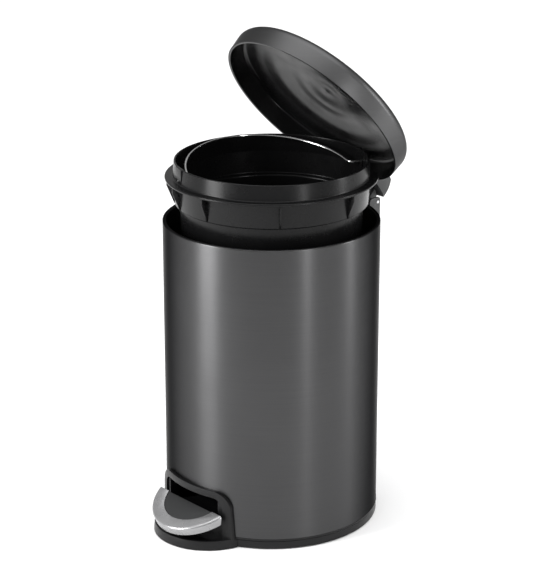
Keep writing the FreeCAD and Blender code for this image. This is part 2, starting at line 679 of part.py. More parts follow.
def lid_outside():
    """The lid's outer outline from the lip to the crown."""
    crown = crown_radius("dome_edge_radius", "lid_rise - dome_edge_height")
    return [
        ("lip_radius", "lip_height"), ("lid_radius", "lip_height + skirt_height", "shoulder_radius"),
        ("dome_edge_radius", "lip_height + dome_edge_height", crown), ("0", "lip_height + lid_rise"),
    ]


def make_lid_shell():
    inner_edge = "dome_edge_radius - 0.12"
    crown = crown_radius(inner_edge, "lid_rise - dome_edge_height")
    shell = turned("lid_shell_turned", lid_outside() + [
        ("0", "lip_height + lid_rise - lid_sheet", f"-{crown}"),
        (inner_edge, "lip_height + dome_edge_height - lid_sheet", "lid_sheet - shoulder_radius"),
        ("lid_radius - lid_sheet", "lip_height + skirt_height"),
        ("lip_radius - lid_sheet", "lip_height"),
    ])
    holes = rods_at("lid_hole", rivet_places(), "rivet_radius + 0.1", "10", "110")
    node("lid_shell", swung_open(cut("lid_shell_cut", shell, *holes)))


def make_lid_liner():
    """A thin pan whose wall and dome follow the inside of the lid."""
    knee = "107.4"
    liner = turned("lid_liner_turned", [
        ("114.6", "lip_height + 0.2"), ("116", "lip_height + 0.2"), ("116.3", "lip_height + 6"),
        ("115", "lip_height + 19.5", "7.6"), (knee, "lip_height + 27.1", crown_radius(knee, "6.3")),
        ("0", "lip_height + 33.4"), ("0", "lip_height + 31.8", "-" + crown_radius("98", "5.4")),
        ("98", "lip_height + 26.4"), (knee, "lip_height + 25.5", "-6"), ("113.4", "lip_height + 19.5"),
    ])
    recesses = rods_at("liner_recess", rivet_places(), "4", "6", "114.4")
    node("lid_liner", swung_open(cut("lid_liner_cut", liner, *recesses)))


def make_lid_hinge_arm():
    shroud = prism("arm_shroud", "YZ_Plane", [
        ("108", "lip_height + 3.8"), ("133.6", "lip_height + 3.8"), ("143.8", "lip_height + 3.1"),
        ("148.4", "lip_height + 0.9", "30"), ("141", "lip_height + 22.8"), ("133", "lip_height + 24.3"),
        ("108", "lip_height + 24.3"),
    ], "-bracket_half_width", "2 * bracket_half_width")
    knuckle = prism("arm_knuckle", "YZ_Plane", [
        ("pin_y - 4.6", "pin_height"), ("pin_y + 4.6", "pin_height"), ("pin_y + 2.2", "lip_height + 6"),
        ("pin_y - 6", "lip_height + 6"),
    ], "-13", "26")
    barrel = rod("arm_barrel", "4.6", "26", ("-13", "pin_y", "pin_height"), "X")
    closed = fuse("arm_whole_closed", shroud, knuckle, barrel, make_crank())
    lid = turned("arm_lid_envelope", lid_outside() + [("0", "lip_height")])
    bore = rod("arm_bore", "pin_radius + pin_clearance", "60", ("-30", "pin_y", "pin_height"), "X")
    rivet_holes = rods_at("arm_rivet_hole", rivet_places(), "rivet_radius", "14", "114")
    arm = cut("arm_outside_lid", closed, lid)
    node("lid_hinge_arm", swung_open(cut("arm_finished", arm, bore, make_crank_slot(), *rivet_holes)))


def make_crank():
    """The flat arm under the hinge pin that the push rod hooks into."""
    return prism("arm_crank", "YZ_Plane", [
        ("pin_y - 4.5", "pin_height + 2"), ("pin_y - 7.9", "pin_height - 14"),
        ("pin_y - 9", "pin_height - 17.2"), ("pin_y - 17.5", "pin_height - 19.2"),
        ("pin_y - 20.8", "pin_height - 23"), ("pin_y - 17", "pin_height - 26.8"),
        ("pin_y - 8", "pin_height - 25.4"), ("pin_y - 1.4", "pin_height - 21.2"),
        ("pin_y + 0.4", "pin_height - 17"), ("pin_y + 4.4", "pin_height - 1"),
    ], "-2", "4")


def hook_in_closed_lid(share):
    """The rod's hook in the closed lid's frame, once the lid has closed by a share of its travel."""
    pin = FreeCAD.Vector(0, cell("pin_y"), cell("pin_height"))
    hook = FreeCAD.Vector(0, cell("hook_y"), cell("hook_height") - cell("rod_lift") * share)
    still_open = FreeCAD.Rotation(X_AXIS, cell("lid_open_angle") * (1 - share))
    return pin + still_open.multVec(hook - pin)


def make_crank_slot():
    """The curved slot that keeps the hook's lift in proportion to the lid's angle."""
    half_width = cell("rod_radius") + 0.3
    first, middle, last = (hook_in_closed_lid(share) for share in (0, 0.5, 1))
    path = Part.Wire(Part.Arc(first, middle, last).toShape())
    heading = path.Edges[0].tangentAt(path.Edges[0].FirstParameter)
    across = heading.cross(X_AXIS) * half_width
    side = X_AXIS * 5
    corners = [first + across + side, first - across + side, first - across - side, first + across - side]
    section = Part.makePolygon(corners + [corners[0]])
    groove = path.makePipeShell([section], True, True)
    ends = [Part.makeCylinder(half_width, 10, end - side, X_AXIS) for end in (first, last)]
    feature = doc.addObject("Part::Feature", "crank_slot")
    feature.Shape = groove.fuse(ends)
    return feature


def make_lid_rivets():
    shanks = rods_at("rivet_shank", rivet_places(), "rivet_radius", "9", "115.3")
    heads = rods_at("rivet_head", rivet_places(), "3.2", "0.6", "114.7")
    node("lid_rivets", swung_open(fuse("lid_rivet_group", *shanks, *heads)))


# ---------- inner bucket and bail, with the pivot axis along their own X ----------

def raised(feature):
    """Turns the bucket so that its pivots face the right way, and lifts it out of its seat."""
    lift = FreeCAD.Vector(0, 0, cell("bucket_lift"))
    feature.Placement = FreeCAD.Placement(lift, FreeCAD.Rotation(Z_AXIS, cell("bucket_azimuth")))
    return feature


def make_inner_bucket():
    fins = [gusset(f"gusset_{index}", 28 + 45 * index) for index in range(8)]
    fins += [gusset(f"pivot_gusset_{index}", 180 * index) for index in range(2)]
    whole = fuse("bucket_whole", make_bowl(), make_pivot_pads(), *fins)
    hole = rod("pivot_hole", "bail_radius + bail_clearance", "240", ("-120", "0", "pivot_height"), "X")
    node("inner_bucket", raised(cut("bucket_finished", whole, hole, rear_relief())))


def make_bowl():
    """The round bucket: foot, waist, step, neck, flange and collar outside, and the same steps inside."""
    wall, step, foot_round = "bucket_wall", "step_height", "bucket_foot_round"
    return turned("bucket_turned", [
        ("0", "bucket_bottom"), (f"bucket_foot_radius - {foot_round}", "bucket_bottom", foot_round),
        ("bucket_foot_radius", f"bucket_bottom + {foot_round}"), ("waist_radius", step),
        ("skirt_radius", step), ("neck_radius", "flange_bottom"),
        ("flange_radius - 0.8", "flange_bottom", "0.8"), ("flange_radius", "flange_bottom + 0.8"),
        ("flange_radius", "flange_bottom + flange_thickness - 0.8", "0.8"),
        ("flange_radius - 0.8", "flange_bottom + flange_thickness"),
        ("neck_radius", "flange_bottom + flange_thickness"), ("collar_radius", "collar_top - 1", "1"),
        ("collar_radius - 1", "collar_top"), (f"collar_radius - {wall} + 0.8", "collar_top", "0.8"),
        (f"collar_radius - {wall}", "collar_top - 0.8"), (f"neck_radius - {wall}", "flange_bottom"),
        (f"skirt_radius - {wall}", f"{step} + {wall}"), (f"waist_radius - {wall}", f"{step} + {wall}"),
        (f"bucket_foot_radius - {wall}", f"bucket_bottom + {foot_round}", f"{wall} - {foot_round}"),
        (f"bucket_foot_radius - {foot_round}", f"bucket_bottom + {wall}"),
        ("0", f"bucket_bottom + {wall}"),
    ])


def make_pivot_pads():
    """Two thickened places in the collar that carry the ends of the bail."""
    pads = [block(f"pivot_pad_{side}", (low, "-pivot_pad_half_width", "flange_bottom + 1"),
                  (f"{low} + 5", "pivot_pad_half_width", "collar_top + 0.3"))
            for side, low in (("right", "109.4"), ("left", "-114.4"))]
    limit = rod("pivot_pad_limit", "pivot_pad_reach", "40", ("0", "0", "flange_bottom"))
    return common("pivot_pads", fuse("pivot_pad_pair", *pads), limit)


def rear_relief():
    """The flange is cut back beside the hinge, so that the closing lid passes behind the bucket."""
    corner = block("relief_block", ("-110", "relief_start", "step_height"),
                   ("110", "flange_radius + 8", "flange_bottom + flange_thickness + 0.5"))
    core = rod("relief_core", "relief_radius", "80", ("0", "0", "step_height - 10"))
    relief = cut("relief_cut", corner, core)
    relief.Placement = FreeCAD.Placement(ORIGIN, FreeCAD.Rotation(Z_AXIS, -cell("bucket_azimuth")))
    return relief


def gusset(name, azimuth):
    """A fin under the flange, upright for its first quarter and then slanting in to the skirt's foot."""
    fin = prism(name, "XZ_Plane", [
        ("skirt_radius - 1.2", "step_height + 0.4"), ("skirt_radius + 0.6", "step_height + 0.4"),
        ("gusset_radius", "flange_bottom - 7.5"), ("gusset_radius", "flange_bottom + 0.4"),
        ("neck_radius - 1.2", "flange_bottom + 0.4"),
    ], "-gusset_thickness / 2", "gusset_thickness")
    fin.Placement = FreeCAD.Placement(ORIGIN, FreeCAD.Rotation(Z_AXIS, azimuth))
    return fin


def make_bail_path():
    """Half an ellipse with two short legs that pass out through the pivot holes."""
    half_width, reach, bend = cell("bail_half_width"), cell("bail_reach"), 6
    ellipse = Part.Ellipse(ORIGIN, reach, half_width)
    ellipse.rotate(FreeCAD.Placement(ORIGIN, FreeCAD.Rotation(Z_AXIS, 90)))
    start_angle = math.asin(bend / reach)
    span = math.pi / 2 - start_angle
    edges = [Part.ArcOfEllipse(ellipse, -span, span).toShape()]
    for side in (1, -1):
        tip = FreeCAD.Vector(side * cell("bail_end"), 0, 0)
        knee = FreeCAD.Vector(side * (half_width + bend), 0, 0)
        middle = FreeCAD.Vector(side * (half_width + 1.6), bend * 0.28, 0)
        hoop_end = FreeCAD.Vector(side * half_width * math.cos(start_angle), bend, 0)
        edges.append(Part.LineSegment(tip, knee).toShape())
        edges.append(Part.Arc(knee, middle, hoop_end).toShape())
    return Part.Wire(Part.__sortEdges__(edges))


def make_bail_handle():
    bail = swept("bail_handle", make_bail_path(), cell("bail_radius"))
    tilt = FreeCAD.Rotation(X_AXIS, cell("bail_tilt"))
    in_bucket = FreeCAD.Placement(FreeCAD.Vector(0, 0, cell("pivot_height")), tilt)
    bail.Placement = raised(bail).Placement.multiply(in_bucket)
    node("bail_handle", bail)


# ---------- build, check and write ----------

def check_document():
    for feature in doc.Objects:
        if "Invalid" in feature.State or "Error" in feature.State:
            raise RuntimeError(f"{feature.Name} failed: {feature.State}")
    for name, feature in nodes.items():
        if feature.Shape.isNull() or not feature.Shape.isValid() or feature.Shape.Volume <= 0:
            raise RuntimeError(f"{name} has no valid solid")


def main():
    make_body_shell()
    make_base()
    make_rubber_ring()
    make_pedal_housing()
    make_pedal_cover()
    make_pedal_inset()
    make_pedal_lever()
    make_axle_bracket()
    make_pedal_axle()
    make_base_screws()
    make_housing_screws()
    make_damper()
    make_push_rod()
    make_rod_clips()
    make_rod_guide()
    make_hinge_bracket()
    make_rear_grip()
    make_rear_screws()
    drill_shell()
    make_hinge_pin()
    make_lid_shell()
    make_lid_liner()
    make_lid_hinge_arm()
    make_lid_rivets()
    make_inner_bucket()
    make_bail_handle()
    doc.recompute()
    check_document()
    os.makedirs("parts", exist_ok=True)
    for name, feature in nodes.items():
        feature.Shape.exportStep(f"parts/{name}.step")


main()
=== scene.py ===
import math

import bmesh
import bpy
from mathutils import Matrix, Vector


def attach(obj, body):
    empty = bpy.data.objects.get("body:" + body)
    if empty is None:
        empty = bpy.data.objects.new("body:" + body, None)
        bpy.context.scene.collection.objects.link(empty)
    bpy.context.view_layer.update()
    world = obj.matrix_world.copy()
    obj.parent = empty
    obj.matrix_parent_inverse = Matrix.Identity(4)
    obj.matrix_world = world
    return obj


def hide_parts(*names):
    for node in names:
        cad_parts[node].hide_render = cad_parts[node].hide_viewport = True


# Looks of the pedal bin. Lengths are written in millimetres, on the CAD frame's axes, and turned into
# metres as the meshes are made. The CAD frame gives the bodies that the pieces ride on.

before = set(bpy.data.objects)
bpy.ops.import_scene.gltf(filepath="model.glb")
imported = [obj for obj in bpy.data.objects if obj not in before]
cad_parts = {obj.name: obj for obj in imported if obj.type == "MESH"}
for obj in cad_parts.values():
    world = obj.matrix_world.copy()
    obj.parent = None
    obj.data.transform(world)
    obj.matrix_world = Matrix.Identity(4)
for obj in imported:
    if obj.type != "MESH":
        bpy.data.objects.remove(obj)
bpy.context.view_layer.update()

MM = 0.001
LATHE_SEGMENTS = 256
SHARP_ANGLE = math.radians(32)

BODY_RADIUS = 125
BODY_TOP = 360
BUCKET_TURN = math.radians(70.5)
LID_OPEN = math.radians(50.8)
LIP = 363.7  # height of the closed lid's lower edge
PIN = Vector((0, 146, 355))
PIVOT_HEIGHT = 415
PIVOT_HOLE_RADIUS = 1.45
BAIL_WIRE_RADIUS = 1.4
BAIL_HALF_WIDTH = 97
BAIL_REACH = 106.6
BAIL_TILT = math.radians(8.2)
LINER_DOME_RADIUS = 98
LINER_RIPPLE = 0.45

NOISE_LOW, NOISE_HIGH = 0.3, 0.7  # the part of the noise's range that textures use

CAMERA_AZIMUTH = 0.848
CAMERA_ELEVATION = 0.3682
CAMERA_PITCH = 0.3334
CAMERA_DISTANCE = 2.5
CAMERA_TARGET = Vector((0, 0, 0.1798))
CAMERA_LENS = 132.08276
SENSOR_WIDTH = 36

LIGHT_AZIMUTH = 47.5
LIGHT_ELEVATION = 18
SOFTBOX_HEIGHT = 1.5
SOFTBOX_TARGET = Vector((0, 0, 0.2))


# ---------- outlines and meshes ----------

def fillet(corners, steps=8):
    """A closed outline with each corner (x, y, radius) rounded."""
    points = []
    count = len(corners)
    for index, corner in enumerate(corners):
        here = Vector(corner[:2])
        radius = corner[2] if len(corner) > 2 else 0
        if radius == 0:
            points.append(tuple(here))
            continue
        back = (Vector(corners[index - 1][:2]) - here).normalized()
        ahead = (Vector(corners[(index + 1) % count][:2]) - here).normalized()
        opening = back.angle(ahead)
        reach = radius / math.tan(opening / 2)
        centre = here + (back + ahead).normalized() * (radius / math.sin(opening / 2))
        first = here + back * reach - centre
        last = here + ahead * reach - centre
        sweep = first.angle_signed(last)
        for step in range(steps + 1):
            angle = -sweep * step / steps
            turned = Matrix.Rotation(angle, 2) @ first
            points.append(tuple(centre + turned))
    return points


def to_object(name, mesh_data):
    """Links the mesh as an object with smooth faces that break at sharp edges."""
    bmesh.ops.recalc_face_normals(mesh_data, faces=mesh_data.faces)
    mesh = bpy.data.meshes.new(name)
    mesh_data.to_mesh(mesh)
    mesh_data.free()
    mesh.polygons.foreach_set("use_smooth", [True] * len(mesh.polygons))
    mesh.set_sharp_from_angle(angle=SHARP_ANGLE)
    piece = bpy.data.objects.new(name, mesh)
    bpy.context.scene.collection.objects.link(piece)
    return piece


def lathe(name, outline):
    """Turns a closed (radius, height) outline about Z."""
    segments = LATHE_SEGMENTS
    data = bmesh.new()
    rings = []
    for radius, height in outline:
        if radius < 1e-6:
            rings.append([data.verts.new((0, 0, height * MM))])
            continue
        rings.append([data.verts.new((radius * MM * math.cos(2 * math.pi * i / segments),
                                      radius * MM * math.sin(2 * math.pi * i / segments),
                                      height * MM)) for i in range(segments)])
    for lower, upper in zip(rings, rings[1:] + rings[:1]):
        if len(lower) == 1 and len(upper) == 1:
            continue
        for i in range(segments):
            j = (i + 1) % segments
            corners = [lower[i % len(lower)], lower[j % len(lower)],
                       upper[j % len(upper)], upper[i % len(upper)]]
            data.faces.new(list(dict.fromkeys(corners)))
    return to_object(name, data)


AXES = {
    "X": Matrix(((0, 0, 1), (1, 0, 0), (0, 1, 0))),
    "Y": Matrix(((1, 0, 0), (0, 0, 1), (0, 1, 0))),
    "Z": Matrix.Identity(3),
}


def prism(name, outline, axis, low, high, bevel=0.0):
    """Pads an outline along an axis. The outline is in (y, z) for X, (x, z) for Y and (x, y) for Z."""
    data = bmesh.new()
    turn = AXES[axis]
    ends = [[data.verts.new(turn @ Vector((u, v, depth)) * MM) for u, v in outline]
            for depth in (low, high)]
    data.faces.new(ends[0])
    data.faces.new(ends[1])
    count = len(outline)
    for i in range(count):
        j = (i + 1) % count
        data.faces.new((ends[0][i], ends[0][j], ends[1][j], ends[1][i]))
    piece = to_object(name, data)
    if bevel:
        round_edges(piece, bevel)
    return piece


def rod(name, start, end, radius, segments=48):
    """A round bar between two points."""
    start, end = Vector(start), Vector(end)
    angles = [2 * math.pi * i / segments for i in range(segments)]
    outline = [(radius * math.cos(angle), radius * math.sin(angle)) for angle in angles]
    piece = prism(name, outline, "Z", 0, (end - start).length)
    turn = (end - start).to_track_quat("Z", "Y").to_matrix().to_4x4()
    piece.data.transform(Matrix.Translation(start * MM) @ turn)
    return piece


def settle(piece):
    """Applies a piece's modifiers to its mesh."""
    graph = bpy.context.evaluated_depsgraph_get()
    mesh = bpy.data.meshes.new_from_object(piece.evaluated_get(graph))
    piece.modifiers.clear()
    piece.data = mesh
    mesh.polygons.foreach_set("use_smooth", [True] * len(mesh.polygons))
    mesh.set_sharp_from_angle(angle=SHARP_ANGLE)
    return piece


def round_edges(piece, width, angle=34):
    """Bevels the edges that turn by more than the angle."""
    bevel = piece.modifiers.new("bevel", "BEVEL")
    bevel.width = width * MM
    bevel.segments = 3
    bevel.limit_method = "ANGLE"
    bevel.angle_limit = math.radians(angle)
    bevel.miter_outer = "MITER_ARC"
    bevel.use_clamp_overlap = True
    return settle(piece)


def carve(piece, *tools, operation="DIFFERENCE"):
    """Cuts the tools out of the piece, or keeps what they share with it, and removes them."""
    for tool in tools:
        step = piece.modifiers.new("carve", "BOOLEAN")
        step.operation = operation
        step.object = tool
        step.solver = "EXACT"
        settle(piece)
        bpy.data.objects.remove(tool)
    return piece


def join(name, *pieces):
    """Several meshes as one object."""
    data = bmesh.new()
    for piece in pieces:
        data.from_mesh(piece.data)
        bpy.data.objects.remove(piece)
    return to_object(name, data)


def cad_copy(name, node, width):
    """A copy of a CAD node with its triangles merged back to clean faces and its edges rounded."""
    data = bmesh.new()
    data.from_mesh(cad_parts[node].data)
    bmesh.ops.remove_doubles(data, verts=data.verts, dist=2e-6)
    bmesh.ops.dissolve_limit(data, angle_limit=math.radians(1.5), verts=data.verts, edges=data.edges)
    piece = to_object(name, data)
    return round_edges(piece, width)


def lid_opens(piece):
    """Swings a piece drawn on the closed lid to the lid's rest angle."""
    about_pin = Matrix.Translation(PIN * MM)
    swing = about_pin @ Matrix.Rotation(-LID_OPEN, 4, "X") @ about_pin.inverted()
    piece.data.transform(swing)
    return piece


# ---------- materials ----------

def material(name, colour, metallic, roughness, anisotropic=0.0):
    made = bpy.data.materials.new(name)
    made.use_nodes = True
    shader = made.node_tree.nodes["Principled BSDF"]
    shader.inputs["Base Color"].default_value = (*colour, 1)
    shader.inputs["Metallic"].default_value = metallic
    shader.inputs["Roughness"].default_value = roughness
    shader.inputs["Anisotropic"].default_value = anisotropic
    shader.inputs["Anisotropic Rotation"].default_value = 0.25
    return made


def link(made, source, target):
    made.node_tree.links.new(source, target)


def add(made, kind, **settings):
    node = made.node_tree.nodes.new(kind)
    for key, value in settings.items():
        setattr(node, key, value)
    return node


def noise(made, scale, detail, stretch=(1, 1, 1), roughness=0.5):
    """Noise in the object's own space, stretched along its axes."""
    where = add(made, "ShaderNodeTexCoord")
    mapping = add(made, "ShaderNodeMapping")
    mapping.inputs["Scale"].default_value = stretch
    texture = add(made, "ShaderNodeTexNoise")
    texture.inputs["Scale"].default_value = scale
    texture.inputs["Detail"].default_value = detail
    texture.inputs["Roughness"].default_value = roughness
    link(made, where.outputs["Object"], mapping.inputs["Vector"])
    link(made, mapping.outputs["Vector"], texture.inputs["Vector"])
    return texture.outputs["Fac"]


def spread(made, source, low, high):
    """Maps a texture to a range of numbers."""
    ranged = add(made, "ShaderNodeMapRange")
    ranged.inputs["From Min"].default_value = NOISE_LOW
    ranged.inputs["From Max"].default_value = NOISE_HIGH
    ranged.inputs["To Min"].default_value = low
    ranged.inputs["To Max"].default_value = high
    link(made, source, ranged.inputs["Value"])
    return ranged.outputs["Result"]


def tint(made, source, dark, light):
    """Maps a texture to a range of colours on the base colour."""
    ramp = add(made, "ShaderNodeValToRGB")
    ramp.color_ramp.elements[0].position = NOISE_LOW
    ramp.color_ramp.elements[1].position = NOISE_HIGH
    ramp.color_ramp.elements[0].color = (*dark, 1)
    ramp.color_ramp.elements[1].color = (*light, 1)
    link(made, source, ramp.inputs["Fac"])
    link(made, ramp.outputs["Color"], made.node_tree.nodes["Principled BSDF"].inputs["Base Color"])


def relief(made, source, strength, distance):
    bump = add(made, "ShaderNodeBump")
    bump.inputs["Strength"].default_value = strength
    bump.inputs["Distance"].default_value = distance
    link(made, source, bump.inputs["Height"])
    link(made, bump.outputs["Normal"], made.node_tree.nodes["Principled BSDF"].inputs["Normal"])


def shades(colour, part):
    """A darker and a lighter version of a colour."""
    return tuple(c * (1 - part) for c in colour), tuple(min(c * (1 + part), 1) for c in colour)


def brushed(name, colour, roughness, edge, part=0.05, anisotropic=0.8):
    """Steel with fine lines that run round the Z axis, and darker where it is seen edge-on."""
    made = material(name, colour, 1.0, roughness, anisotropic)
    shader = made.node_tree.nodes["Principled BSDF"]
    shader.inputs["Specular Tint"].default_value = (edge, edge, edge, 1)
    lines = noise(made, 1.0, 4.0, (9, 9, 1600), 0.6)
    tint(made, lines, *shades(colour, part))
    clouds = noise(made, 9.0, 3.0)
    link(made, spread(made, clouds, roughness - 0.03, roughness + 0.04), shader.inputs["Roughness"])
    relief(made, lines, 0.04, 0.00005)
    around = add(made, "ShaderNodeTangent", direction_type="RADIAL", axis="Z")
    link(made, around.outputs["Tangent"], shader.inputs["Tangent"])
    return made


def moulded(name, colour, roughness, grain=1800, depth=0.00004, specular=0.4):
    """Moulded plastic with a fine grain and slightly uneven gloss."""
    made = material(name, colour, 0.0, roughness)
    shader = made.node_tree.nodes["Principled BSDF"]
    shader.inputs["Specular IOR Level"].default_value = specular
    clouds = noise(made, 14.0, 4.0)
    tint(made, clouds, *shades(colour, 0.12))
    gloss = noise(made, 42.0, 5.0)
    link(made, spread(made, gloss, roughness - 0.04, roughness + 0.05), shader.inputs["Roughness"])
    relief(made, noise(made, grain, 2.0), 0.35, depth)
    return made


def plated(name, colour, roughness, part=0.05, metallic=1.0):
    """Plated metal with faint polishing marks."""
    made = material(name, colour, metallic, roughness)
    marks = noise(made, 260, 5.0, (1, 0.15, 1), 0.65)
    tint(made, marks, *shades(colour, part))
    shader = made.node_tree.nodes["Principled BSDF"]
    gloss = noise(made, 30.0, 4.0)
    link(made, spread(made, gloss, roughness - 0.03, roughness + 0.05), shader.inputs["Roughness"])
    relief(made, marks, 0.08, 0.00005)
    return made


BODY_STEEL = brushed("body_steel", (0.064, 0.064, 0.065), 0.32, 0.32)
LID_STEEL = brushed("lid_steel", (0.085, 0.085, 0.086), 0.42, 0.5, part=0.04, anisotropic=0.2)
BLACK_PLASTIC = moulded("black_plastic", (0.0055, 0.0055, 0.0058), 0.36, specular=0.22)
LINER_PLASTIC = moulded("liner_plastic", (0.0045, 0.0045, 0.0047), 0.22, 900, 0.00001, 0.24)
BUCKET_PLASTIC = moulded("bucket_plastic", (0.0045, 0.0045, 0.0047), 0.25, 900, 0.00003, 0.16)
GREY_PLASTIC = moulded("grey_plastic", (0.032, 0.032, 0.033), 0.42)
INSET_RUBBER = moulded("inset_rubber", (0.021, 0.0215, 0.022), 0.62, 2600, 0.00006, 0.2)
FOOT_RUBBER = moulded("foot_rubber", (0.012, 0.012, 0.012), 0.7, 1500, 0.0001)
CHROME = plated("chrome", (0.30, 0.30, 0.305), 0.26, metallic=0.7)
BRIGHT_WIRE = plated("bright_wire", (0.75, 0.75, 0.75), 0.16)
ZINC_STEEL = plated("zinc_steel", (0.46, 0.46, 0.47), 0.34, part=0.12)


def dress(piece, finish, body, node):
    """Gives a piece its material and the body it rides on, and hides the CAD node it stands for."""
    piece.data.materials.clear()
    piece.data.materials.append(finish)
    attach(piece, body)
    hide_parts(node)


# ---------- body ----------

def make_body():
    wall = fillet([(BODY_RADIUS, 13), (BODY_RADIUS, BODY_TOP, 1.3), (120.6, BODY_TOP, 1.3),
                   (120.6, 357.4, 0.4), (124.2, 357.4), (124.2, 13)])
    shell = lathe("body_shell_skin", wall)
    opening = fillet([(-46, 18.2, 6), (46, 18.2, 6), (46, 60.5, 6), (-46, 60.5, 6)])
    front = prism("front_cut", opening, "Y", -140, -90)
    rear = prism("rear_cut", [(-10, 284), (13, 284), (13, 357.2), (-10, 357.2)], "Y", 100, 140)
    carve(shell, front, rear)
    dress(shell, BODY_STEEL, "bin", "body_shell")
    base = lathe("base_ring", fillet([
        (0, 3), (113, 3, 0.4), (113, 1, 0.3), (125, 1, 0.8), (125, 10, 0.3), (124.4, 10), (124.4, 10.6),
        (125.4, 10.6, 0.3), (125.4, 13, 0.4), (124.1, 13), (124.1, 18, 0.3), (121.6, 18, 0.3),
        (121.6, 5.2, 0.8), (0, 5.2)]))
    ribs = []
    for x, low, high in ((-60, -80, 80), (60, -80, 80), (-40, -90, 95), (40, -90, 95)):
        outline = [(x - 1.2, low), (x + 1.2, low), (x + 1.2, high), (x - 1.2, high)]
        ribs.append(prism("base_rib", outline, "Z", 5, 10.2, 0.3))
    base = join("base_ring", base, *ribs)
    dress(base, BLACK_PLASTIC, "bin", "base")


# ---------- pedal ----------

def make_pedal():
    housing = cad_copy("housing_shell", "pedal_housing", 0.7)
    dress(housing, BLACK_PLASTIC, "bin", "pedal_housing")
    cover = cad_copy("pedal_crescent", "pedal_cover", 0.5)
    dress(cover, CHROME, "pedal", "pedal_cover")
    inset = cad_copy("pedal_pad", "pedal_inset", 0.3)
    dress(inset, INSET_RUBBER, "pedal", "pedal_inset")


# ---------- hinge, grip and arm ----------

def make_rear():
    bracket = cad_copy("bracket_shell", "hinge_bracket", 0.5)
    dress(bracket, GREY_PLASTIC, "bin", "hinge_bracket")
    grip = cad_copy("grip_shell", "rear_grip", 0.8)
    dress(grip, BLACK_PLASTIC, "bin", "rear_grip")
    arm = cad_copy("arm_shroud", "lid_hinge_arm", 0.9)
    dress(arm, GREY_PLASTIC, "lid", "lid_hinge_arm")


# ---------- lid ----------

def arc_points(start, end, radius, steps):
    """Points on the arc from start to end that bulges to the right of the way it goes."""
    start, end = Vector(start), Vector(end)
    chord = end - start
    middle = (start + end) / 2
    left = Vector((-chord.y, chord.x)).normalized()
    centre = middle + left * math.sqrt(radius * radius - chord.length_squared / 4)
    sweep = (start - centre).angle_signed(end - centre)
    spoke = start - centre
    return [tuple(centre + Matrix.Rotation(-sweep * step / steps, 2) @ spoke)
            for step in range(steps + 1)]


def make_lid():
    outer = [(117.2, LIP), (118.4, LIP + 17.5)]
    outer += arc_points((118.4, LIP + 17.5), (108.75, LIP + 28.4), 11, 14)[1:]
    outer += arc_points((108.75, LIP + 28.4), (0, LIP + 35), 899.25, 18)[1:]
    inner = [(117.4, LIP + 17.5)]
    inner += arc_points((117.4, LIP + 17.5), (108.63, LIP + 27.4), 10, 14)[1:]
    inner += arc_points((108.63, LIP + 27.4), (0, LIP + 34), 897.3, 8)[1:]
    outline = outer + inner[::-1] + [(116.2, LIP)]
    shell = lathe("lid_skin", outline)
    dress(lid_opens(shell), LID_STEEL, "lid", "lid_shell")
    ceiling = []
    for step in range(60, -1, -1):
        radius = LINER_DOME_RADIUS * step / 60
        share = radius / LINER_DOME_RADIUS
        rise = 26.4 + 5.4 * (1 - share ** 2)
        ripple = LINER_RIPPLE * math.sin(share * math.pi * 5) * min(1, (LINER_DOME_RADIUS - radius) / 12)
        ceiling.append((radius, LIP + rise + ripple - LINER_RIPPLE))
    wall = [(114.6, LIP + 0.2), (113.4, LIP + 19.5)]
    wall += arc_points((113.4, LIP + 19.5), (107.4, LIP + 25.5), 6, 10)[1:]
    back = [(116, LIP + 0.2), (116.3, LIP + 6), (115, LIP + 19.5)]
    back += arc_points((115, LIP + 19.5), (107.4, LIP + 27.1), 7.6, 8)[1:]
    back += [(60, LIP + 31.4), (0, LIP + 33.4)]
    liner = lathe("lid_liner_skin", wall + ceiling + back[::-1])
    dress(lid_opens(liner), LINER_PLASTIC, "lid", "lid_liner")


# ---------- bucket and bail ----------

def fin(azimuth, reach=119.9):
    """An upright web under the bucket's flange."""
    outline = fillet([(109.4, 380.4), (111.2, 380.4), (reach, 401.5), (reach, 409.4), (111.6, 409.4)])
    piece = prism("fin", outline, "Y", -1, 1, 0.35)
    piece.data.transform(Matrix.Rotation(azimuth, 4, "Z"))
    return piece


